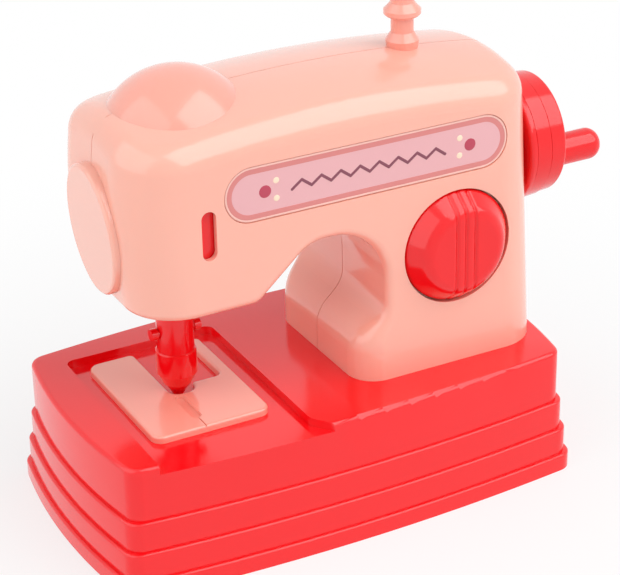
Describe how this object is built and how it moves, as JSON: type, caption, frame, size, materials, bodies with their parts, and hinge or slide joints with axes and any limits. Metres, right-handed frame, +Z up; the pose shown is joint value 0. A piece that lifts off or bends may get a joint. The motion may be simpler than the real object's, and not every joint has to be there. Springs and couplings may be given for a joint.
{
  "type": "toy sewing machine",
  "caption": "Hand-cranked toy sewing machine: stepped base box, C-shaped body, hand wheel with a crank knob that lifts the needle block, and a turning front dial.",
  "frame": {"origin": "centre of the base's underside, the face that the toy stands on", "axes": "+Z up, +X from the needle end to the hand wheel, -Y the front with the dial and the label"},
  "size_m": [0.2095, 0.103, 0.1732],
  "materials": {
    "pink_shell": "glossy moulded",
    "pink_trim": "glossy moulded",
    "red_base": "glossy moulded",
    "red_controls": "glossy moulded",
    "label_print": "printed plastic",
    "steel": "plain",
    "screw_steel": "bright plated",
    "inner_plastic": "plain moulded"
  },
  "bodies": {
    "machine": {"base_shell": "red_base", "base_bottom_cover": "red_base", "bottom_cover_screws": "screw_steel", "needle_plate": "pink_trim", "front_body_shell": "pink_shell", "rear_body_shell": "pink_shell", "shell_screws": "screw_steel", "pillar_screws": "screw_steel", "head_dome": "pink_shell", "head_end_cap": "pink_trim", "label_plaque": "label_print", "spool_pin": "pink_trim", "head_side_bush": "inner_plastic", "wheel_side_bush": "inner_plastic", "guide_rods": "steel", "click_spring": "steel", "click_spring_screw": "screw_steel"},
    "wheel_and_shaft": {"hand_wheel": "red_controls", "drive_shaft": "steel", "hand_wheel_screw": "screw_steel", "crank_disc": "inner_plastic", "crank_pin": "steel", "knob_pin": "inner_plastic"},
    "knob": {"crank_knob": "red_controls"},
    "needle_slide": {"needle_carriage": "red_controls", "needle_block": "red_controls", "clamp_pin": "red_controls"},
    "dial": {"front_dial": "red_controls", "dial_click_wheel": "inner_plastic", "dial_screw": "screw_steel"}
  },
  "joints": [
    {"name": "wheel_turn", "type": "hinge", "parent": "machine", "child": "wheel_and_shaft", "pos_m": [0.087, 0, 0.1078], "axis": [1, 0, 0], "range_deg": [0, 180]},
    {"name": "knob_spin", "type": "hinge", "parent": "wheel_and_shaft", "child": "knob", "pos_m": [0.1077, 0, 0.0979], "axis": [1, 0, 0], "continuous": true},
    {"name": "needle_lift", "type": "slide", "parent": "machine", "child": "needle_slide", "axis": [0, 0, 1], "range_m": [0, 0.012]},
    {"name": "dial_turn", "type": "hinge", "parent": "machine", "child": "dial", "pos_m": [0.0452, -0.031, 0.0879], "axis": [0, -1, 0], "continuous": true}
  ],
  "couplings": [
    {"joint": "needle_lift", "follows": "wheel_turn", "m_per_rad": 0.0038197}
  ]
}
